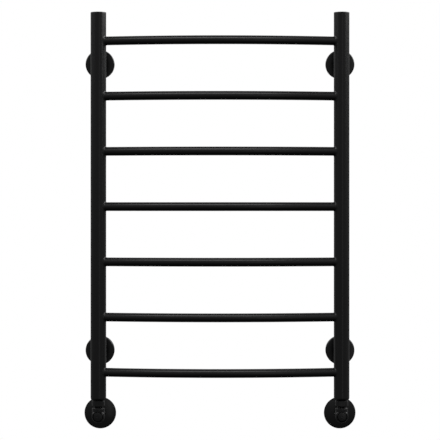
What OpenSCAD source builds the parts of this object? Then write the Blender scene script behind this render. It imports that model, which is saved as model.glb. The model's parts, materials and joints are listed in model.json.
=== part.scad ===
// Ladder towel warmer for a hot-water circuit. Two upright columns are joined by
// forward-bowed rungs. Four telescopic brackets hold it to the wall, and two
// quarter-turn angle valves feed it from the wall below the columns.
//
// Millimetres. +Z is up and -Y is the front. The origin is the centre of the four
// bracket screws, on the wall plane y = 0.

/* [Ladder] */
// Distance between the two column axes
column_spacing = 500; // [400:10:600]
// Height of a column, end to end
column_height = 797; // [790:1:1000]
// Outer diameter of a column
column_d = 32; // [30:1:38]
// Wall thickness of the columns and rungs
tube_wall = 1.5; // [1.2:0.1:2]
// Number of rungs
rung_count = 7; // [2:1:7]
// Distance between neighbouring rungs
rung_pitch = 113.4; // [60:0.1:115]
// Height of the lowest rung above the bottom of the columns
lowest_rung = 57.5; // [45:0.5:65]
// Outer diameter of a rung
rung_d = 18; // [16:1:20]
// How far a rung's middle stands forward of its ends
rung_bow = 31.5; // [10:0.5:60]

/* [Wall brackets] */
// Distance from the wall to the column axes
wall_gap = 60; // [56:1:70]
// Height of the lower brackets above the bottom of the columns
lowest_bracket = 98.5; // [90:0.5:110]
// Distance from the lower to the upper brackets
bracket_pitch = 595.5; // [500:0.5:620]
// Diameter of the rod welded to the column
stub_d = 16; // [12:1:16]
// Diameter of the cover rosette
rosette_d = 60; // [56:1:64]
// Depth of the cover rosette
rosette_depth = 13.2; // [10:0.1:16]
// Diameter of the hole for the wall screw
wall_screw_hole_d = 6.5; // [5:0.5:7]

/* [Valves] */
// Height of the column's lower end above the valve axis
valve_drop = 32.5; // [32:0.5:40]
// Diameter of the valve barrel
barrel_d = 26.6; // [26:0.1:28]
// Diameter of the turning knob
knob_d = 21.8; // [20:0.1:23]
// Diameter of the wall escutcheon
escutcheon_d = 66; // [55:1:70]
// Height of the domed wall escutcheon's top, were it closed
escutcheon_depth = 6; // [5.8:0.1:8]
// Length of the inlet thread behind the wall plane
inlet_thread_l = 12; // [8:1:15]

/* [Hidden] */
round_steps = 64;
$fn = round_steps;
SIDES = [-1, 1];
SIDE_NAMES = ["left", "right"];
LEVELS = [0, 1];
LEVEL_NAMES = ["lower", "upper"];

paint = [0.09, 0.09, 0.10];
brass = [0.78, 0.62, 0.32];
steel = [0.35, 0.35, 0.37];
rubber = [0.15, 0.15, 0.15];
ceramic = [0.92, 0.91, 0.88];

overcut = 1;               // how far a cutter runs past the face that it opens
fit_gap = 0.06;            // radial clearance of a turning or sliding fit
face_gap = 0.1;            // clearance between faces that move past each other
cover_gap = 0.3;           // radial clearance of a cover over what it hides
key_depth = 1.2;           // depth of a screw's hexagon socket

column_r = column_d / 2;
column_bore_r = column_r - tube_wall;
column_bottom = -bracket_pitch / 2 - lowest_bracket;
column_top = column_bottom + column_height;

// A rung is an arc in a level plane, through both column axes.
rung_r = rung_d / 2;
rung_bore_r = rung_r - tube_wall;
half_span = column_spacing / 2;
arc_r = (half_span * half_span + rung_bow * rung_bow) / (2 * rung_bow);
arc_half_angle = asin(half_span / arc_r);
arc_centre_y = arc_r - wall_gap - rung_bow;
arc_steps = 720;           // steps in a full turn at a large radius

// Ends of a column
cap_h = 3;
spigot_h = 8;
air_port_r = 6;
air_seat_drop = 2;
air_screw_r = 2;
air_screw_l = 8;
air_screw_head_r = 3.8;
air_screw_head_h = 1.6;
air_screw_slot = [1, 0.8];
bush_end_h = 5.5;          // height of the bush's end under the column's tube
bush_edge = 5;
tail_thread_r = 6.6;

// Wall brackets: depths are measured forwards from the wall
stub_r = stub_d / 2;
stub_tip = 8;
plate_r = 25;
plate_t = 3;
socket_r = 11;
socket_l = 34;
lock_screw_r = 2.5;
lock_screw_at = 28;
lock_screw_sunk = 0.4;
lock_key_flats = 2.5;
sheet_t = 1.2;
rosette_edge = 2.5;
escutcheon_r = escutcheon_d / 2;
escutcheon_dome_r = 112;

// Union between column and valve: heights are measured down from the column's end
nut_r = 13.3;
nut_flats = 23;            // across its two spanner flats
nut_top = 0.6;
nut_bottom = 12.4;
nut_lip_t = 3;
nut_chamfer = [2.2, 1.2];  // width and height
tail_r = 6.5;
tail_bore_r = 4.5;
tail_flange_r = 9;
tail_flange_t = 2;
tail_engagement = 10;
tail_end = nut_top + nut_lip_t + face_gap + tail_flange_t;
gasket_t = 1.5;
neck_thread_r = 9.9;
neck_collar_r = 13;
neck_collar_top = 16.2;    // heights on the neck are measured up from the valve axis
neck_collar_edge = 1;

// Valve: depths are measured forwards from the wall
barrel_r = barrel_d / 2;
barrel_back = wall_gap - 14;
barrel_front = wall_gap + 11;
barrel_edge = 4;
inlet_thread_r = 10.48;    // G1/2
pipe_r = 10;
pipe_hex_l = 5;
pipe_hex_flats = 22;
inlet_bore_r = 5.5;
chamber_r = 8.6;
chamber_back = barrel_back + 5;
knob_r = knob_d / 2;
knob_l = 6.4;
knob_front = wall_gap + 20;
knob_back = knob_front - knob_l;
knob_dome_r = 51;
knob_groove_r = 9.65;
knob_groove_l = 2.4;
knob_groove_slope = 0.65;  // half of the groove's width, for each millimetre of its depth
knob_flutes = 18;
knob_flute_r = 0.8;
knob_flute_l = 3.4;
knob_recess_r = 2;
knob_recess_l = 2.4;
knob_screw_r = 1;
knob_screw_l = 8;
knob_screw_head_r = 1.8;
knob_screw_head_h = 1.6;
knob_key_flats = 1.5;
knob_web_t = 1;            // between the spindle's end and the screw's head

// Inside the valve
cartridge_r = chamber_r - fit_gap;
cartridge_flange_r = 9.3;
cartridge_flange_t = 2;
cartridge_cavity_r = 6.6;
cartridge_cavity_l = 15;
cartridge_window_r = 3.6;
disc_r = 6.4;
disc_t = 2;
disc_port_r = 1.9;
disc_port_at = 3.4;
moving_disc_back = chamber_back + disc_t + face_gap;
spindle_back = moving_disc_back + disc_t;
spindle_front = knob_front - knob_recess_l - knob_web_t;
knob_screw_back = knob_front - knob_recess_l - knob_screw_l;
spindle_r = 3;
spindle_collar_r = 4.5;
spindle_dog_r = 6.2;
spindle_dog_t = 3;
seal_r = 0.5;
seal_back = 4;             // distance of the seal behind the cartridge flange

// ---- Places ----

// The foot of a column's axis.
module at_column(side) {
    translate([side * half_span, -wall_gap, column_bottom]) children();
}

// The top of a column's axis.
module at_column_top(side) {
    translate([side * half_span, -wall_gap, column_top]) children();
}

// A point on the wall, with +Z turned to point forwards and +Y turned to point up.
module on_wall(side, height) {
    translate([side * half_span, 0, height]) rotate([90, 0, 0]) children();
}

module at_bracket(side, level) {
    on_wall(side, (level - 0.5) * bracket_pitch) children();
}

module at_valve(side) {
    on_wall(side, column_bottom - valve_drop) children();
}

// ---- Shapes ----

// A cylinder from depth or height a to b.
module rod(r, a, b) {
    translate([0, 0, a]) cylinder(r = r, h = b - a);
}

// A disc with a rounded upper edge.
module round_disc(r, h, edge) {
    rotate_extrude() difference() {
        square([r, h]);
        translate([r - edge, h - edge]) difference() {
            square(2 * edge);
            circle(edge);
        }
    }
}

// A hexagonal prism with flats facing +Y and -Y.
module hex(flats, h) {
    cylinder(r = flats / sqrt(3), h = h, $fn = 6);
}

// A thin pressed cover: open at the back, rounded at the front, with a centre hole.
module cover(r, depth, wall, edge, hole_r) {
    difference() {
        round_disc(r, depth, edge);
        translate([0, 0, -overcut]) round_disc(r - wall, depth - wall + overcut, edge - wall);
        rod(hole_r, -overcut, depth + overcut);
    }
}

// ---- Ladder ----

module column(side) {
    toward_rungs = side > 0 ? 180 + arc_half_angle : -arc_half_angle;
    color(paint) at_column(side) difference() {
        rod(column_r, bush_end_h, column_height - cap_h);
        rod(column_bore_r, 0, column_height);
        for (i = [0:rung_count - 1])
            translate([0, 0, lowest_rung + i * rung_pitch])
                rotate([0, 90, toward_rungs]) cylinder(r = rung_bore_r, h = column_d);
    }
}

module rung(number) {
    height = column_bottom + lowest_rung + (number - 1) * rung_pitch;
    color(paint) difference() {
        translate([0, arc_centre_y, height])
            rotate([0, 0, 270 - arc_half_angle])
                rotate_extrude(angle = 2 * arc_half_angle, $fn = arc_steps)
                    translate([arc_r, 0]) difference() {
                        circle(rung_r, $fn = round_steps);
                        circle(rung_bore_r, $fn = round_steps);
                    }
        for (side = SIDES) at_column(side) cylinder(r = column_r, h = column_height);
    }
}

module top_cap(side) {
    color(paint) at_column_top(side) difference() {
        union() {
            rod(column_r, -cap_h, 0);
            rod(column_bore_r, -cap_h - spigot_h, -cap_h);
        }
        rod(air_port_r, -cap_h - spigot_h - overcut, overcut);
    }
}

module bleed_seat(side) {
    color(brass) at_column_top(side) difference() {
        rod(air_port_r, -cap_h - spigot_h, -air_seat_drop);
        rod(air_screw_r + fit_gap, -cap_h - spigot_h - overcut, 0);
    }
}

module bleed_screw(side) {
    color(brass) at_column_top(side) translate([0, 0, face_gap - air_seat_drop]) difference() {
        union() {
            rod(air_screw_r, -air_screw_l, 0);
            rod(air_screw_head_r, 0, air_screw_head_h);
        }
        translate([-air_screw_head_r, -air_screw_slot[0] / 2, air_screw_head_h - air_screw_slot[1]])
            cube([2 * air_screw_head_r, air_screw_slot[0], overcut]);
    }
}

module end_bush(side) {
    color(paint) at_column(side) difference() {
        union() {
            translate([0, 0, bush_end_h]) rotate([180, 0, 0]) round_disc(column_r, bush_end_h, bush_edge);
            rod(column_bore_r, bush_end_h, bush_end_h + spigot_h);
        }
        rod(tail_thread_r, -overcut, bush_end_h + spigot_h + overcut);
    }
}

// ---- Wall brackets ----

module bracket_stubs() {
    color(paint) for (side = SIDES, level = LEVELS) difference() {
        at_bracket(side, level) rod(stub_r, stub_tip, wall_gap);
        at_column(side) cylinder(r = column_r, h = column_height);
    }
}

// The hole for the lock screw comes in from below.
module from_below(depth) {
    translate([0, 0, depth]) rotate([90, 0, 0]) children();
}

module bracket_socket(side, level) {
    color(paint) at_bracket(side, level) difference() {
        union() {
            rod(plate_r, 0, plate_t);
            rod(socket_r, plate_t, socket_l);
        }
        rod(stub_r + fit_gap, plate_t, socket_l + overcut);
        rod(wall_screw_hole_d / 2, -overcut, plate_t + overcut);
        from_below(lock_screw_at) rod(lock_screw_r, 0, socket_r + overcut);
    }
}

module lock_screw(side, level) {
    outer_end = socket_r - lock_screw_sunk;
    color(steel) at_bracket(side, level) from_below(lock_screw_at) difference() {
        rod(lock_screw_r, stub_r + fit_gap, outer_end);
        translate([0, 0, outer_end - key_depth]) hex(lock_key_flats, key_depth + overcut);
    }
}

module rosette(side, level) {
    color(paint) at_bracket(side, level)
        cover(rosette_d / 2, rosette_depth, sheet_t, rosette_edge, socket_r + cover_gap);
}

// ---- Unions ----

module tailpiece(side) {
    color(steel) at_column(side) difference() {
        union() {
            rod(tail_thread_r, 0, tail_engagement);
            rod(tail_r, tail_flange_t - tail_end, 0);
            rod(tail_flange_r, -tail_end, tail_flange_t - tail_end);
        }
        rod(tail_bore_r, -tail_end - overcut, tail_engagement + overcut);
    }
}

module union_gaskets() {
    color(rubber) for (side = SIDES) at_column(side) difference() {
        rod(tail_flange_r, -tail_end - gasket_t, -tail_end);
        rod(tail_bore_r, -tail_end - gasket_t - overcut, overcut);
    }
}

module union_nut(side) {
    height = nut_bottom - nut_top;
    color(paint) at_column(side) translate([0, 0, -nut_bottom]) difference() {
        intersection() {
            translate([-nut_r, -nut_flats / 2, 0]) cube([2 * nut_r, nut_flats, height]);
            rotate_extrude() polygon([
                [0, 0], [nut_r - nut_chamfer[0], 0], [nut_r, nut_chamfer[1]],
                [nut_r, height - nut_chamfer[1]], [nut_r - nut_chamfer[0], height], [0, height]
            ]);
        }
        rod(neck_thread_r + fit_gap, -overcut, height - nut_lip_t);
        rod(tail_r + fit_gap, 0, height + overcut);
    }
}

// ---- Valves ----

// The neck stands up from the valve's axis, under the column.
module on_neck() {
    translate([0, 0, wall_gap]) rotate([-90, 0, 0]) children();
}

module valve_body(side) {
    neck_top = valve_drop - tail_end - gasket_t;
    color(paint) at_valve(side) difference() {
        union() {
            rod(inlet_thread_r, -inlet_thread_l, 0);
            rod(pipe_r, 0, barrel_back);
            translate([0, 0, barrel_back - pipe_hex_l]) hex(pipe_hex_flats, pipe_hex_l);
            translate([0, 0, wall_gap]) {
                round_disc(barrel_r, barrel_front - wall_gap, barrel_edge);
                rotate([180, 0, 0]) round_disc(barrel_r, wall_gap - barrel_back, barrel_edge);
            }
            on_neck() {
                round_disc(neck_collar_r, neck_collar_top, neck_collar_edge);
                rod(neck_thread_r, 0, neck_top);
            }
        }
        rod(inlet_bore_r, -inlet_thread_l - overcut, wall_gap);
        rod(chamber_r, chamber_back, barrel_front);
        rod(cartridge_flange_r + fit_gap, barrel_front, wall_gap + neck_collar_r + overcut);
        on_neck() rod(tail_bore_r, 0, neck_top + overcut);
    }
}

module valve_cartridge(side) {
    nose = barrel_front + cartridge_flange_t;
    color(brass) at_valve(side) difference() {
        union() {
            rod(cartridge_r, chamber_back, barrel_front);
            rod(cartridge_flange_r, barrel_front, nose);
        }
        rod(cartridge_cavity_r, chamber_back - overcut, chamber_back + cartridge_cavity_l);
        rod(spindle_r + fit_gap, chamber_back, nose + overcut);
        translate([0, -chamber_r, wall_gap]) rotate([-90, 0, 0])
            cylinder(r = cartridge_window_r, h = 2 * chamber_r);
        translate([0, 0, barrel_front - seal_back]) rotate_extrude()
            translate([cartridge_r - 2 * seal_r, -seal_r]) square([3 * seal_r, 2 * seal_r]);
    }
}

module cartridge_seals() {
    color(rubber) for (side = SIDES) at_valve(side)
        translate([0, 0, barrel_front - seal_back]) rotate_extrude()
            translate([cartridge_r - seal_r, 0]) circle(seal_r - fit_gap / 2);
}

// A ceramic disc with two ports, its back face at a given depth.
module ported_disc(depth) {
    difference() {
        rod(disc_r, depth, depth + disc_t);
        for (x = [-disc_port_at, disc_port_at])
            translate([x, 0, 0]) rod(disc_port_r, depth - overcut, depth + disc_t + overcut);
    }
}

module fixed_discs() {
    color(ceramic) for (side = SIDES) at_valve(side) ported_disc(chamber_back);
}

// Closed at rest: its ports stand a quarter turn from those of the fixed disc.
module moving_disc(side) {
    color(ceramic) at_valve(side) rotate([0, 0, 90]) ported_disc(moving_disc_back);
}

module spindle(side) {
    dog_front = spindle_back + spindle_dog_t;
    color(brass) at_valve(side) difference() {
        union() {
            rod(spindle_dog_r, spindle_back, dog_front);
            rod(spindle_collar_r, dog_front, chamber_back + cartridge_cavity_l - face_gap);
            rod(spindle_r, dog_front, spindle_front);
        }
        rod(knob_screw_r, knob_screw_back, knob_front);
    }
}

// A round knob with a slightly domed face and a groove around it.
module valve_knob(side) {
    color(paint) at_valve(side) difference() {
        rotate_extrude() difference() {
            intersection() {
                translate([0, knob_back]) square([knob_r, knob_l]);
                translate([0, knob_front - knob_dome_r]) circle(knob_dome_r, $fn = arc_steps);
            }
            translate([knob_groove_r, knob_front - knob_groove_l]) polygon([
                [0, 0], [knob_groove_l * knob_groove_slope, knob_groove_l],
                [-knob_groove_l * knob_groove_slope, knob_groove_l]
            ]);
        }
        rod(spindle_r, knob_back - overcut, spindle_front);
        rod(knob_screw_r, knob_back, knob_front);
        rod(knob_recess_r, knob_front - knob_recess_l, knob_front + overcut);
        for (i = [1:knob_flutes]) rotate([0, 0, i * 360 / knob_flutes])
            translate([knob_r + knob_flute_r / 2, 0, 0])
                rod(knob_flute_r, knob_back - overcut, knob_back + knob_flute_l);
    }
}

module knob_screw(side) {
    head_back = knob_front - knob_recess_l;
    head_front = head_back + knob_screw_head_h;
    color(steel) at_valve(side) difference() {
        union() {
            rod(knob_screw_r, knob_screw_back, head_back);
            rod(knob_screw_head_r, head_back, head_front);
        }
        translate([0, 0, head_front - key_depth]) hex(knob_key_flats, key_depth + overcut);
    }
}

// A domed cover around the inlet pipe.
module escutcheon(side) {
    hole_r = inlet_thread_r + cover_gap;
    color(paint) at_valve(side) rotate_extrude() difference() {
        intersection() {
            translate([hole_r, 0]) square([escutcheon_r - hole_r, escutcheon_depth]);
            translate([0, escutcheon_depth - escutcheon_dome_r]) circle(escutcheon_dome_r, $fn = arc_steps);
        }
        translate([0, escutcheon_depth - escutcheon_dome_r]) circle(escutcheon_dome_r - sheet_t, $fn = arc_steps);
    }
}

// ---- Drawing ----

for (s = [0, 1]) {
    column(SIDES[s]);
    top_cap(SIDES[s]);
    bleed_seat(SIDES[s]);
    bleed_screw(SIDES[s]);
    end_bush(SIDES[s]);
    tailpiece(SIDES[s]);
    union_nut(SIDES[s]);
    valve_body(SIDES[s]);
    valve_cartridge(SIDES[s]);
    moving_disc(SIDES[s]);
    spindle(SIDES[s]);
    valve_knob(SIDES[s]);
    knob_screw(SIDES[s]);
    escutcheon(SIDES[s]);
}
for (s = [0, 1], l = LEVELS) {
    place = str(LEVEL_NAMES[l], "_", SIDE_NAMES[s]);
    bracket_socket(SIDES[s], l);
    lock_screw(SIDES[s], l);
    rosette(SIDES[s], l);
}
for (i = [1:rung_count]) {
    rung(i);
}
bracket_stubs();
union_gaskets();
cartridge_seals();
fixed_discs();
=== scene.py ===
"""Looks of the ladder towel warmer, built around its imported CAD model.

The tubes, covers, nuts, valve bodies and knobs are rebuilt as smooth meshes with rounded
edges and weld fillets. Screws, seats and everything inside the valves keep their CAD meshes.
All is in metres in the part's own frame: +Z up, -Y to the front, the wall on y = 0.
"""
import json
import math

import bmesh
import bpy
from mathutils import Matrix, Vector


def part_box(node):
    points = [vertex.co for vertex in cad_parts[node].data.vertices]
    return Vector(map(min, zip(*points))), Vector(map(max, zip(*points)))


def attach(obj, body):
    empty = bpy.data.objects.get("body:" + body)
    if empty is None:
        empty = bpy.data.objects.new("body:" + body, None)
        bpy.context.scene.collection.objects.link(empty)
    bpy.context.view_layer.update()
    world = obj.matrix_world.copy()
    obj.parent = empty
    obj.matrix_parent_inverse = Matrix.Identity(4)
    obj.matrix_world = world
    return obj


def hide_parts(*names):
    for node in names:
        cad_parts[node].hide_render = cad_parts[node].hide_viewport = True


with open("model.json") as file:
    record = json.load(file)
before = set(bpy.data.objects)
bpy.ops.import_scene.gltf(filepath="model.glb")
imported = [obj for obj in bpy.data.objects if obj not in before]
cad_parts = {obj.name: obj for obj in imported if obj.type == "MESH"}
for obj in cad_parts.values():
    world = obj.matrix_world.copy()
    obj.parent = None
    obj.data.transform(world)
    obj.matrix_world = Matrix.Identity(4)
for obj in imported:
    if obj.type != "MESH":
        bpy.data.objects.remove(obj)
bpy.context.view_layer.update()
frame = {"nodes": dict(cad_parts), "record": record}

MM = 0.001
SIDES = ("left", "right")
PLACES = tuple(f"{level}_{side}" for level in ("lower", "upper") for side in SIDES)
RUNGS = tuple(sorted(name for name in frame["nodes"] if name.startswith("rung_")))


# ---- Sizes, read from the frame ----

def middle(node):
    low, high = (Vector(corner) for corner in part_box(node))
    return (low + high) / 2


def extent(node):
    low, high = (Vector(corner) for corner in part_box(node))
    return high - low


COLUMN_R = extent("column_left").x / 2
COLUMN_Y = middle("column_left").y
HALF_SPAN = middle("column_right").x
COLUMN_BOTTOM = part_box("end_bush_left")[0][2]
COLUMN_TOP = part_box("top_cap_left")[1][2]
TUBE_WALL = 1.5 * MM
RUNG_R = extent("rung_1").z / 2
RUNG_BOW = COLUMN_Y - (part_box("rung_1")[0][1] + RUNG_R)
ARC_R = (HALF_SPAN**2 + RUNG_BOW**2) / (2 * RUNG_BOW)
ARC_CENTRE_Y = COLUMN_Y - RUNG_BOW + ARC_R


# ---- Camera ----

CAMERA_DISTANCE = 3.70      # from the plane of the columns
PICTURE_PIXELS = 440
FOCAL_PIXELS = 1800         # focal length in picture widths, times the picture's pixels
HORIZON_PIXELS = 13.4       # how far the horizon lies above the picture's middle


def make_camera():
    """Straight in front, level with the middle rung, with the picture shifted down to take in the valves."""
    data = bpy.data.cameras.new("camera")
    data.lens = data.sensor_width * FOCAL_PIXELS / PICTURE_PIXELS
    data.shift_y = -HORIZON_PIXELS / PICTURE_PIXELS
    camera = bpy.data.objects.new("camera", data)
    camera.location = (0, COLUMN_Y - CAMERA_DISTANCE, middle(RUNGS[len(RUNGS) // 2]).z)
    camera.rotation_euler = (math.radians(90), 0, 0)
    bpy.context.collection.objects.link(camera)
    bpy.context.scene.camera = camera


make_camera()


# ---- Materials ----

class Surface:
    """A Principled material, with short ways to add the procedural detail."""

    def __init__(self, name, **sockets):
        self.material = bpy.data.materials.new(name)
        self.material.use_nodes = True
        self.nodes = self.material.node_tree.nodes
        self.links = self.material.node_tree.links
        self.shader = self.nodes["Principled BSDF"]
        self.place = self.nodes.new("ShaderNodeTexCoord").outputs["Object"]
        for socket, value in sockets.items():
            self.shader.inputs[socket.replace("_", " ")].default_value = value

    def noise(self, scale, detail=2.0, stretch=None):
        """Noise with scale features to the metre, optionally drawn out along an axis."""
        texture = self.nodes.new("ShaderNodeTexNoise")
        texture.inputs["Scale"].default_value = scale
        texture.inputs["Detail"].default_value = detail
        place = self.place
        if stretch:
            mapping = self.nodes.new("ShaderNodeMapping")
            mapping.inputs["Scale"].default_value = stretch
            self.links.new(place, mapping.inputs["Vector"])
            place = mapping.outputs["Vector"]
        self.links.new(place, texture.inputs["Vector"])
        return texture.outputs["Fac"]

    def ramp(self, value, low, high):
        """Colour from low to high, over the middle of a noise's range."""
        ramp = self.nodes.new("ShaderNodeValToRGB")
        ramp.color_ramp.elements[0].position, ramp.color_ramp.elements[1].position = 0.3, 0.7
        ramp.color_ramp.elements[0].color = (*low, 1)
        ramp.color_ramp.elements[1].color = (*high, 1)
        self.links.new(value, ramp.inputs["Fac"])
        self.links.new(ramp.outputs["Color"], self.shader.inputs["Base Color"])

    def roughen(self, value, low, high):
        """Roughness from low to high, over the middle of a noise's range."""
        spread = self.nodes.new("ShaderNodeMapRange")
        spread.inputs["From Min"].default_value, spread.inputs["From Max"].default_value = 0.3, 0.7
        spread.inputs["To Min"].default_value, spread.inputs["To Max"].default_value = low, high
        self.links.new(value, spread.inputs["Value"])
        self.links.new(spread.outputs["Result"], self.shader.inputs["Roughness"])

    def bump(self, *layers):
        """Relief from layers of (value, height in metres)."""
        normal = None
        for value, height in layers:
            bump = self.nodes.new("ShaderNodeBump")
            bump.inputs["Distance"].default_value = height
            self.links.new(value, bump.inputs["Height"])
            if normal:
                self.links.new(normal, bump.inputs["Normal"])
            normal = bump.outputs["Normal"]
        self.links.new(normal, self.shader.inputs["Normal"])


def black_paint():
    """Satin powder coat: near black, with an orange-peel skin and a fine grain."""
    surface = Surface("black_paint", Specular_IOR_Level=0.5)
    peel = surface.noise(620, detail=1.5)
    grain = surface.noise(4200, detail=2)
    surface.ramp(surface.noise(900, detail=4), (0.0030, 0.0030, 0.0033), (0.0046, 0.0046, 0.0050))
    surface.roughen(grain, 0.21, 0.29)
    surface.bump((peel, 0.010 * MM), (grain, 0.0025 * MM))
    return surface.material


def brass():
    """Machined brass with fine turning marks."""
    surface = Surface("brass", Metallic=1.0)
    marks = surface.noise(500, detail=3, stretch=(1, 1, 30))
    surface.ramp(surface.noise(160, detail=4), (0.62, 0.44, 0.19), (0.78, 0.58, 0.29))
    surface.roughen(marks, 0.22, 0.36)
    surface.bump((marks, 0.006 * MM))
    return surface.material


def steel():
    """Black-oxide screw steel."""
    surface = Surface("steel", Metallic=0.9)
    surface.ramp(surface.noise(700, detail=4), (0.035, 0.035, 0.038), (0.075, 0.075, 0.078))
    surface.roughen(surface.noise(2500, detail=3), 0.34, 0.48)
    surface.bump((surface.noise(3000, detail=2), 0.004 * MM))
    return surface.material


def rubber():
    """Matt sealing rubber."""
    surface = Surface("rubber", Specular_IOR_Level=0.35)
    surface.ramp(surface.noise(900, detail=4), (0.016, 0.016, 0.016), (0.028, 0.028, 0.028))
    surface.roughen(surface.noise(1800, detail=3), 0.72, 0.88)
    surface.bump((surface.noise(2600, detail=3), 0.02 * MM))
    return surface.material


def ceramic():
    """Lapped white valve ceramic."""
    surface = Surface("ceramic", Specular_IOR_Level=0.6)
    surface.ramp(surface.noise(500, detail=4), (0.80, 0.79, 0.76), (0.90, 0.89, 0.86))
    surface.roughen(surface.noise(2000, detail=3), 0.10, 0.20)
    surface.bump((surface.noise(5000, detail=2), 0.001 * MM))
    return surface.material


MATERIALS = {make.__name__: make() for make in (black_paint, brass, steel, rubber, ceramic)}


def dress_cad_nodes():
    """Each CAD node takes the material of its slot in the record."""
    for part in frame["record"]["subparts"]:
        mesh = frame["nodes"][part["node"]].data
        mesh.materials.clear()
        mesh.materials.append(MATERIALS[part["material_slot"]])


# ---- Mesh tools ----

def skin(rings, closed=True):
    """Vertices and quads over rings of equal length. A closed skin joins its last ring to its first."""
    count = len(rings[0])
    points = [point for ring in rings for point in ring]
    last = len(rings) if closed else len(rings) - 1
    faces = []
    for row in range(last):
        here, there = row * count, (row + 1) % len(rings) * count
        for i in range(count):
            j = (i + 1) % count
            faces.append((here + i, here + j, there + j, there + i))
    return points, faces


def mesh_from(name, shells, place):
    """A mesh from (points, faces) shells."""
    mesh = bpy.data.meshes.new(name)
    build = bmesh.new()
    for points, faces in shells:
        verts = [build.verts.new(place @ Vector(point)) for point in points]
        for face in faces:
            build.faces.new([verts[i] for i in face])
    bmesh.ops.recalc_face_normals(build, faces=build.faces)
    build.to_mesh(mesh)
    build.free()
    return mesh


def less(name, mesh, cutter):
    """The mesh with a cutter's volume taken out of it."""
    part, tool = (bpy.data.objects.new(name, data) for data in (mesh, cutter))
    for each in (part, tool):
        bpy.context.collection.objects.link(each)
    boolean = part.modifiers.new("cut", "BOOLEAN")
    boolean.operation, boolean.solver, boolean.object = "DIFFERENCE", "EXACT", tool
    result = bpy.data.meshes.new_from_object(part.evaluated_get(bpy.context.evaluated_depsgraph_get()))
    for each in (part, tool):
        bpy.data.objects.remove(each)
    return result


def make_piece(name, body, nodes, shells, place=Matrix(), slot="black_paint", sharp_deg=35, cutters=()):
    """One piece from (points, faces) shells, riding on a body in place of CAD nodes."""
    mesh = mesh_from(name, shells, place)
    if cutters:
        mesh = less(name, mesh, mesh_from("cutter", cutters, place))
    mesh.shade_smooth()
    mesh.set_sharp_from_angle(angle=math.radians(sharp_deg))
    mesh.materials.clear()
    mesh.materials.append(MATERIALS[slot])
    piece = bpy.data.objects.new(name, mesh)
    bpy.context.collection.objects.link(piece)
    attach(piece, body)
    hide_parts(*nodes)
    return piece


def rounded(outline, steps=4):
    """(radius, height) points, with arcs at the corners, from (radius, height, corner radius) points."""
    result = []
    for i, (r, h, corner) in enumerate(outline):
        here = Vector((r, h))
        if not corner:
            result.append(here)
            continue
        before = Vector(outline[i - 1][:2]) - here
        after = Vector(outline[(i + 1) % len(outline)][:2]) - here
        half = before.angle(after) / 2
        reach = min(corner / math.tan(half), before.length, after.length)
        radius = reach * math.tan(half)
        before.normalize()
        after.normalize()
        centre = here + (before + after).normalized() * radius / math.sin(half)
        start = here + before * reach - centre
        turn = start.angle_signed(here + after * reach - centre)
        for step in range(steps + 1):
            result.append(centre + Matrix.Rotation(-turn * step / steps, 2) @ start)
    return [here for i, here in enumerate(result) if (here - result[i - 1]).length > 0.001 * MM]


def finer(outline, step, wanted=None):
    """The outline with its long stretches, or those wanted, cut into pieces no longer than step."""
    result = []
    for i, end in enumerate(outline):
        start = outline[i - 1]
        count = max(1, math.ceil((end - start).length / step))
        if wanted and not wanted(*start.lerp(end, 0.5)):
            count = 1
        result += [start.lerp(end, k / count) for k in range(1, count + 1)]
    return result


def ring(r, h, segments, shape=None):
    """A level ring, round or with its radius changed by shape(angle, r, h)."""
    angles = [math.tau * i / segments for i in range(segments)]
    radii = [shape(a, r, h) if shape else r for a in angles]
    return [(q * math.cos(a), q * math.sin(a), h) for a, q in zip(angles, radii)]


def lathe(outline, segments=96, shape=None):
    """A closed ring-shaped solid from the outline of its cross-section, about +Z."""
    return skin([ring(r, h, segments, shape) for r, h in outline])


def bar(r, low, high, segments=32):
    """A closed cylinder about +Z."""
    points, faces = skin([ring(r, low, segments), ring(r, high, segments)], closed=False)
    return points, faces + [tuple(reversed(range(segments))), tuple(range(segments, 2 * segments))]


def moved(shell, place):
    points, faces = shell
    return [place @ Vector(point) for point in points], faces


def on_wall(node):
    """The wall behind a node's middle, with +Z turned to point forwards and +Y turned to point up."""
    spot = middle(node)
    return Matrix.Translation((spot.x, 0, spot.z)) @ Matrix.Rotation(math.radians(90), 4, "X")


# ---- Ladder ----

WELD = 2.2 * MM             # radius of the fillet weld between two tubes
WELD_ROWS = 6
UNDER = 0.5 * MM            # how far a welded end runs on under the host's skin


def weld_rows(r):
    """(radius about the tube's axis, lift above the host's skin) from under the skin up to the tube."""
    rows = [(r + WELD, -UNDER), (r + WELD, 0)]
    for step in range(1, WELD_ROWS + 1):
        s = WELD * math.sin(math.radians(90) * step / WELD_ROWS)
        rows.append((r + WELD - s, WELD - math.sqrt(WELD**2 - s**2)))
    return rows


def skin_height(lateral, host_r):
    """Distance of the host tube's skin from its axis, seen along the welded tube's axis."""
    return math.sqrt(host_r**2 - lateral**2)


def make_columns():
    for side in SIDES:
        low, high = (corner[2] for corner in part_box(f"column_{side}"))
        outline = [
            Vector((COLUMN_R, low)), Vector((COLUMN_R, high)),
            Vector((COLUMN_R - TUBE_WALL, high)), Vector((COLUMN_R - TUBE_WALL, low)),
        ]
        place = Matrix.Translation((middle(f"column_{side}").x, COLUMN_Y, 0))
        make_piece(f"column_tube_{side}", "ladder", [f"column_{side}"], [lathe(outline, 128)], place)


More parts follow.
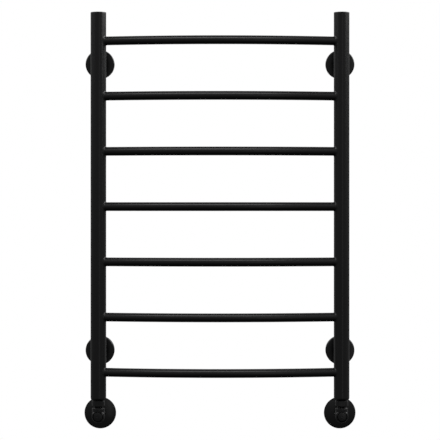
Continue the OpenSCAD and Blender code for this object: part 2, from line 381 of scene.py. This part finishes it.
def make_column_ends():
    """The cap flush in the top of each column, and the rounded bush in its foot."""
    cap_t = COLUMN_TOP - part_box("column_left")[1][2]
    spigot = extent("top_cap_left").z
    bush_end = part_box("column_left")[0][2] - COLUMN_BOTTOM
    bush = extent("end_bush_left").z
    inner = COLUMN_R - TUBE_WALL
    air_port, tail_port, cap_edge, bush_edge = 6 * MM, 6.6 * MM, 0.9 * MM, 5 * MM
    cap_outline = rounded([
        (COLUMN_R, -cap_t, 0), (COLUMN_R, 0, cap_edge), (air_port, 0, 0.4 * MM), (air_port, -spigot, 0),
        (inner, -spigot, 0), (inner, -cap_t, 0),
    ])
    bush_outline = rounded([
        (tail_port, 0, 0.3 * MM), (COLUMN_R, 0, bush_edge), (COLUMN_R, bush_end, 0), (inner, bush_end, 0),
        (inner, bush, 0), (tail_port, bush, 0),
    ], steps=10)
    for side in SIDES:
        x = middle(f"column_{side}").x
        make_piece(f"column_cap_{side}", "ladder", [f"top_cap_{side}"], [lathe(cap_outline, 128)],
                   Matrix.Translation((x, COLUMN_Y, COLUMN_TOP)))
        make_piece(f"column_foot_{side}", "ladder", [f"end_bush_{side}"], [lathe(bush_outline, 128)],
                   Matrix.Translation((x, COLUMN_Y, COLUMN_BOTTOM)))


def arc_place(along):
    """Point and outward direction of the rungs' arc, at a distance along it from its middle."""
    angle = along / ARC_R
    outward = Vector((math.sin(angle), -math.cos(angle), 0))
    return Vector((0, ARC_CENTRE_Y, 0)) + outward * ARC_R, outward


def rung_ring(r, along, segments):
    """Ring about the arc. along is a distance, or a function of the ring's angle."""
    result = []
    for i in range(segments):
        angle = math.tau * i / segments
        centre, outward = arc_place(along(angle) if callable(along) else along)
        result.append(centre + outward * r * math.cos(angle) + Vector((0, 0, r * math.sin(angle))))
    return result


def make_rungs():
    """Bowed tubes with a fillet weld all round at both columns."""
    segments, spans = 72, 60
    half_arc = ARC_R * math.asin(HALF_SPAN / ARC_R)
    free = half_arc - COLUMN_R - WELD

    def end(sign, r, lift):
        return lambda angle: sign * (half_arc - skin_height(r * math.cos(angle), COLUMN_R) - lift)

    left = [rung_ring(r, end(-1, r, lift), segments) for r, lift in weld_rows(RUNG_R)]
    right = [rung_ring(r, end(1, r, lift), segments) for r, lift in reversed(weld_rows(RUNG_R))]
    between = [rung_ring(RUNG_R, free * (2 * k / spans - 1), segments) for k in range(spans + 1)]
    bore_r = RUNG_R - TUBE_WALL
    bore = [rung_ring(bore_r, end(1, bore_r, -UNDER), segments)]
    bore += [rung_ring(bore_r, free * (1 - 2 * k / spans), segments) for k in range(spans + 1)]
    bore += [rung_ring(bore_r, end(-1, bore_r, -UNDER), segments)]
    shell = skin(left + between + right + bore)
    for name in RUNGS:
        make_piece(f"bowed_{name}", "ladder", [name], [shell], Matrix.Translation((0, 0, middle(name).z)),
                   sharp_deg=50)


# ---- Wall brackets ----

ROD_R = 8 * MM
ROD_TIP = 8 * MM            # gap between the rod's tip and the wall


def make_bracket_rods():
    """Solid rods welded to the columns' backs."""
    segments = 64
    reach = -COLUMN_Y

    def welded(r, lift):
        angles = [math.tau * i / segments for i in range(segments)]
        return [
            (r * math.cos(a), r * math.sin(a), reach - skin_height(r * math.cos(a), COLUMN_R) - lift)
            for a in angles
        ]

    rings = [welded(r, lift) for r, lift in weld_rows(ROD_R)]
    tip = rounded([(ROD_R, reach, 0), (ROD_R, ROD_TIP, 1.2 * MM), (0.3 * MM, ROD_TIP, 0)])
    rings += [ring(r, h, segments) for r, h in tip[1:]]
    points, faces = skin(rings, closed=False)
    faces.append(tuple(reversed(range(segments))))
    faces.append(tuple(range(len(points) - segments, len(points))))
    shells = [moved((points, faces), on_wall(f"rosette_{place}")) for place in PLACES]
    make_piece("bracket_rods", "ladder", ["bracket_stubs"], shells, sharp_deg=50)


def make_sockets():
    """Wall plate and tube in one, with the lock screw's hole underneath."""
    tube_r, bore_r, length = 11 * MM, 8.06 * MM, 34 * MM
    plate_r, plate_t, screw_r = 25 * MM, 3 * MM, 3.25 * MM
    lock_r, lock_at = 2.5 * MM, 28 * MM
    outline = rounded([
        (plate_r, 0, 0.3 * MM), (plate_r, plate_t, 0.6 * MM), (tube_r, plate_t, 1.2 * MM),
        (tube_r, length, 0.6 * MM), (bore_r, length, 0.4 * MM), (bore_r, plate_t, 0),
        (screw_r, plate_t, 0.3 * MM), (screw_r, 0, 0.2 * MM),
    ])
    across = Matrix.Translation((0, 0, lock_at)) @ Matrix.Rotation(math.radians(90), 4, "X")
    hole = moved(bar(lock_r, 0, 2 * tube_r), across)
    for place in PLACES:
        make_piece(f"wall_socket_{place}", f"bracket_{place}", [f"bracket_socket_{place}"],
                   [lathe(outline, 96)], on_wall(f"rosette_{place}"), cutters=[hole])


def make_rosettes():
    """Pressed covers: open at the back, rounded at the front, with a rolled hole."""
    size = extent("rosette_lower_left")
    r, depth, wall, edge, hole_r = size.x / 2, size.y, 1.2 * MM, 2.5 * MM, 11.3 * MM
    outline = rounded([
        (r, 0, 0.3 * MM), (r, depth, edge), (hole_r, depth, 0.5 * MM), (hole_r, depth - wall, 0.2 * MM),
        (r - wall, depth - wall, edge - wall), (r - wall, 0, 0.3 * MM),
    ], steps=8)
    for place in PLACES:
        make_piece(f"rosette_cover_{place}", f"rosette_{place}", [f"rosette_{place}"], [lathe(outline, 128)],
                   on_wall(f"rosette_{place}"))


def dome(sphere_r, top, start, end, steps=12):
    """Points without corner radii over a dome whose middle stands at height top, from radius start to end."""
    radii = [start + (end - start) * k / steps for k in range(steps + 1)]
    return [(r, top - sphere_r + math.sqrt(sphere_r**2 - r**2), 0) for r in radii]


def cornered(points, first, last):
    """The points with corner radii at both ends."""
    return [(*points[0][:2], first), *points[1:-1], (*points[-1][:2], last)]


def make_escutcheons():
    """Domed covers around the inlet pipes."""
    size = extent("escutcheon_left")
    r, hole_r, wall, dome_r = size.x / 2, 10.78 * MM, 1.2 * MM, 112 * MM
    top = size.y + dome_r - math.sqrt(dome_r**2 - hole_r**2)
    inner_r = math.sqrt((dome_r - wall)**2 - (dome_r - top)**2)
    outline = rounded(
        [(r, 0, 0.15 * MM)]
        + cornered(dome(dome_r, top, r, hole_r), 0.4 * MM, 0.3 * MM)
        + cornered(dome(dome_r - wall, top - wall, hole_r, inner_r), 0.2 * MM, 0)
    )
    for side in SIDES:
        make_piece(f"wall_cover_{side}", f"escutcheon_{side}", [f"escutcheon_{side}"], [lathe(outline, 128)],
                   on_wall(f"escutcheon_{side}"))


# ---- Valves ----

THREAD_PITCH = 25.4 / 14 * MM       # G1/2
THREAD_DEPTH = 1.1 * MM
BLEND = 0.08 * MM           # softening where a flat meets a round
LEAST_SLOPE = 0.3           # sine below which a direction misses a spanner flat


def soft_least(a, b):
    """The smaller of two lengths, blended where they are nearly equal."""
    low = min(a, b)
    return low - BLEND * math.log(math.exp((low - a) / BLEND) + math.exp((low - b) / BLEND))


def hex_radius(angle, flats, r):
    """Radius of a hexagon with flats at +Y and -Y, blended into a circle of radius r."""
    from_flat = math.degrees(angle) % 60 - 30
    return soft_least(r, flats / 2 / math.cos(math.radians(from_flat)))


def thread_cut(angle, h):
    """How deep a thread's rounded groove is at an angle and height."""
    phase = (h / THREAD_PITCH - angle / math.tau) % 1
    return THREAD_DEPTH * (0.5 + 0.5 * math.cos(math.tau * phase)) ** 0.8


def make_union_nuts():
    """Round nuts with chamfered ends and two spanner flats."""
    size = extent("union_nut_left")
    r, height, half_flats = size.x / 2, size.z, size.y / 2
    bore_r, tail_r, lip, chamfer_in, chamfer_up = 9.96 * MM, 6.56 * MM, 3 * MM, 2.2 * MM, 1.2 * MM
    outline = rounded([
        (bore_r, 0, 0.3 * MM), (r - chamfer_in, 0, 0.3 * MM), (r, chamfer_up, 0.6 * MM),
        (r, height - chamfer_up, 0.6 * MM), (r - chamfer_in, height, 0.4 * MM), (tail_r, height, 0.3 * MM),
        (tail_r, height - lip, 0), (bore_r, height - lip, 0),
    ], steps=5)

    def flatted(angle, q, h):
        slope = abs(math.sin(angle))
        if q < half_flats - MM or slope < LEAST_SLOPE:
            return q
        return soft_least(q, half_flats / slope)

    for side in SIDES:
        spot = middle(f"union_nut_{side}")
        make_piece(f"flatted_nut_{side}", f"union_nut_{side}", [f"union_nut_{side}"],
                   [lathe(finer(outline, 0.5 * MM), 240, flatted)],
                   Matrix.Translation((spot.x, spot.y, spot.z - height / 2)), sharp_deg=28)


def make_valve_bodies():
    """Barrel, hexagon, pipe and inlet thread along one axis, with the neck for the union standing on it."""
    thread_r, thread_l, pipe_r, bore_r = 10.48 * MM, 12 * MM, 10 * MM, 5.5 * MM
    hex_flats, hex_back, hex_chamfer = 22 * MM, 41 * MM, 0.9 * MM
    barrel_r, barrel_back, barrel_front, barrel_edge = 13.3 * MM, 46 * MM, 71 * MM, 4 * MM
    chamber_r, chamber_back = 8.6 * MM, 51 * MM
    hex_corner = hex_flats / math.sqrt(3)
    body = rounded([
        (bore_r, -thread_l, 0.3 * MM), (thread_r, -thread_l, 1.2 * MM), (thread_r, 0, 0.2 * MM),
        (pipe_r, 0, 0), (pipe_r, hex_back, 0.6 * MM), (hex_flats / 2, hex_back, 0),
        (hex_corner, hex_back + hex_chamfer, 0), (hex_corner, barrel_back, 0.3 * MM),
        (barrel_r - barrel_edge, barrel_back, 0), (barrel_r, barrel_back, barrel_edge),
        (barrel_r, barrel_front, barrel_edge), (chamber_r, barrel_front, 0.3 * MM),
        (chamber_r, chamber_back, 0), (bore_r, chamber_back, 0),
    ], steps=8)

    def outside(angle, r, h):
        """The inlet's thread, fading at both ends, and the hexagon."""
        if h < 0 and r > pipe_r - 1.5 * MM:
            return r - thread_cut(angle, h) * min(1, -h / MM, (h + thread_l) / MM + 0.2)
        if hex_back < h <= barrel_back and r > pipe_r + 0.6 * MM:
            return hex_radius(angle, hex_flats, r)
        return r

    def detailed(r, h):
        """Whether a stretch of the outline lies on the thread or the hexagon."""
        return r > pipe_r + 0.2 * MM and h < barrel_back

    neck_foot, collar_r, collar_top, neck_bore = 14 * MM, 13 * MM, 16.2 * MM, 4.5 * MM
    neck_thread_r, thread_top, thread_rows = 9.9 * MM, 25.3 * MM, 48
    rise = thread_top - collar_top
    outline = rounded(
        [(collar_r, neck_foot, 0), (collar_r, collar_top, MM)]
        + [(neck_thread_r, collar_top + rise * k / thread_rows, 0) for k in range(thread_rows)]
        + [(neck_thread_r, thread_top, 0), (neck_bore, thread_top, 0.3 * MM), (neck_bore, neck_foot, 0)],
        steps=5)
    spot_face_r, under = 9.36 * MM, MM      # the round cut for the knob's seat

    def foot(lateral, depth):
        """Where the neck ends: just under the barrel's skin, or on the round cut."""
        if depth > barrel_front:
            return skin_height(lateral, spot_face_r)
        into_edge = max(0, depth - barrel_front + barrel_edge, barrel_back + barrel_edge - depth)
        r = barrel_r - barrel_edge + math.sqrt(barrel_edge**2 - into_edge**2)
        return skin_height(lateral, r) - under

    segments = 128
    feet = [
        [(x, y, foot(x, -COLUMN_Y - y)) for x, y, _ in ring(r, 0, segments)]
        for r in (neck_bore, collar_r)
    ]

    def threaded(angle, r, h):
        on_thread = abs(r - neck_thread_r) < 0.01 * MM and h > collar_top + 0.1 * MM
        return r - thread_cut(angle, h) if on_thread else r

    neck = skin(feet + [ring(r, h, segments, threaded) for r, h in outline])
    up = Matrix.Translation((0, 0, -COLUMN_Y)) @ Matrix.Rotation(math.radians(-90), 4, "X")
    for side in SIDES:
        make_piece(f"angle_valve_{side}", "ladder", [f"valve_body_{side}"],
                   [lathe(finer(body, 0.22 * MM, detailed), 144, outside), moved(neck, up)],
                   on_wall(f"escutcheon_{side}"))


def make_knobs():
    """Round knobs with a domed face in a turned groove, a sunk screw and fluted sides."""
    low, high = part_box("valve_knob_left")
    back, knob_r = -high[1], (high[0] - low[0]) / 2
    groove_r, groove_l, groove_half, dome_r = 9.65 * MM, 2.4 * MM, 0.95 * MM, 51 * MM
    recess_r, recess_l, screw_r, spindle_r, flute_r = 2 * MM, 2.4 * MM, MM, 3 * MM, 0.8 * MM
    front = -low[1] + dome_r - math.sqrt(dome_r**2 - recess_r**2)
    spindle_front = front - recess_l - MM
    flutes, flute_end = 18, back + 3.4 * MM
    rim = dome(dome_r, front, knob_r, groove_r + groove_half, steps=1)
    face = dome(dome_r, front, groove_r - groove_half, recess_r)
    outline = rounded(
        [(knob_r, back, 0.4 * MM)] + cornered(rim, 0.15 * MM, 0.1 * MM) + [(groove_r, front - groove_l, 0)]
        + cornered(face, 0.25 * MM, 0.2 * MM)
        + [(recess_r, front - recess_l, 0.1 * MM), (screw_r, front - recess_l, 0)]
        + [(screw_r, spindle_front, 0), (spindle_r, spindle_front, 0), (spindle_r, back, 0.2 * MM)],
        steps=6)

    def fluted(angle, r, h):
        if r < knob_r - 0.3 * MM or h > flute_end:
            return r
        offset = ((angle / math.tau * flutes + 0.5) % 1 - 0.5) / flutes * math.tau * knob_r
        reach = flute_r * math.sqrt(min(1, (flute_end - h) / flute_r))
        if abs(offset) >= reach:
            return r
        return min(r, knob_r + flute_r / 2 - math.sqrt(reach**2 - offset**2))

    for side in SIDES:
        make_piece(f"fluted_knob_{side}", f"valve_handle_{side}", [f"valve_knob_{side}"],
                   [lathe(finer(outline, 0.4 * MM), flutes * 16, fluted)], on_wall(f"valve_knob_{side}"))


dress_cad_nodes()
make_columns()
make_column_ends()
make_rungs()
make_bracket_rods()
make_sockets()
make_rosettes()
make_escutcheons()
make_union_nuts()
make_valve_bodies()
make_knobs()


# ---- Stage and light ----

FLOOR_DROP = 0.62           # from the valves down to the floor
FLOOR_R = 3.6


def make_floor():
    """A pale floor well below the rack. It isn't mirrored in the paint."""
    sides = 96
    valve_z = middle("escutcheon_left").z
    disc = ring(FLOOR_R, 0, sides), [tuple(range(sides))]
    mesh = mesh_from("floor", [disc], Matrix.Translation((0, 0, valve_z - FLOOR_DROP)))
    floor = bpy.data.objects.new("floor", mesh)
    bpy.context.collection.objects.link(floor)
    surface = Surface("floor", Emission_Strength=0.35)
    surface.ramp(surface.noise(3, detail=3), (0.80, 0.80, 0.79), (0.84, 0.84, 0.83))
    surface.roughen(surface.noise(6, detail=3), 0.7, 0.8)
    surface.shader.inputs["Emission Color"].default_value = (1, 1, 1, 1)
    mesh.materials.append(surface.material)
    floor.visible_glossy = False
    floor.visible_diffuse = False


def softbox(name, azimuth, elevation, distance, width, height, radiance):
    """A square light aimed at the rack. Azimuth 0 is in front, and 90 to the right."""
    a, e = math.radians(azimuth), math.radians(elevation)
    towards = Vector((math.sin(a) * math.cos(e), -math.cos(a) * math.cos(e), math.sin(e)))
    data = bpy.data.lights.new(name, "AREA")
    data.shape = "RECTANGLE"
    data.size, data.size_y = width, height
    data.energy = radiance * math.pi * width * height
    light = bpy.data.objects.new(name, data)
    light.location = Vector((0, COLUMN_Y, 0)) + towards * distance
    light.rotation_euler = towards.to_track_quat("Z", "Y").to_euler()
    bpy.context.collection.objects.link(light)


def make_lights():
    softbox("key", azimuth=-6, elevation=58, distance=3.0, width=2.0, height=1.2, radiance=2.2)
    softbox("front_strip", azimuth=15, elevation=0, distance=3.2, width=0.5, height=2.6, radiance=0.26)
    softbox("right_side", azimuth=94, elevation=33, distance=3.0, width=3.6, height=1.7, radiance=3.4)
    softbox("left_side", azimuth=-92, elevation=35, distance=3.0, width=3.8, height=1.6, radiance=1.5)
    softbox("back_right", azimuth=168, elevation=0, distance=3.2, width=0.6, height=3.0, radiance=0.18)


# (place from straight down to straight up, grey level) of the studio seen in reflections
STUDIO_LEVELS = (
    (0.0, 0.01), (0.12, 0.06), (0.30, 0.11), (0.5, 0.18), (0.62, 0.27), (0.75, 0.38), (1.0, 0.22),
)


def make_world():
    """White behind the rack, and a dim grey studio in its reflections, darker towards the ground."""
    world = bpy.data.worlds.new("studio")
    world.use_nodes = True
    nodes, links = world.node_tree.nodes, world.node_tree.links
    nodes.clear()
    direction = nodes.new("ShaderNodeTexCoord").outputs["Generated"]
    split = nodes.new("ShaderNodeSeparateXYZ")
    links.new(direction, split.inputs["Vector"])
    height = nodes.new("ShaderNodeMapRange")
    height.inputs["From Min"].default_value = -1
    links.new(split.outputs["Z"], height.inputs["Value"])
    ramp = nodes.new("ShaderNodeValToRGB")
    links.new(height.outputs["Result"], ramp.inputs["Fac"])
    elements = ramp.color_ramp.elements
    while len(elements) < len(STUDIO_LEVELS):
        elements.new(0.5)
    for element, (position, level) in zip(elements, STUDIO_LEVELS):
        element.position = position
        element.color = (level, level, level, 1)
    seen = nodes.new("ShaderNodeBackground")
    seen.inputs["Color"].default_value = (1, 1, 1, 1)
    studio = nodes.new("ShaderNodeBackground")
    links.new(ramp.outputs["Color"], studio.inputs["Color"])
    path = nodes.new("ShaderNodeLightPath")
    mix = nodes.new("ShaderNodeMixShader")
    links.new(path.outputs["Is Camera Ray"], mix.inputs["Fac"])
    links.new(studio.outputs["Background"], mix.inputs[1])
    links.new(seen.outputs["Background"], mix.inputs[2])
    output = nodes.new("ShaderNodeOutputWorld")
    links.new(mix.outputs["Shader"], output.inputs["Surface"])
    bpy.context.scene.world = world
    bpy.context.scene.view_settings.view_transform = "Standard"


make_floor()
make_lights()
make_world()
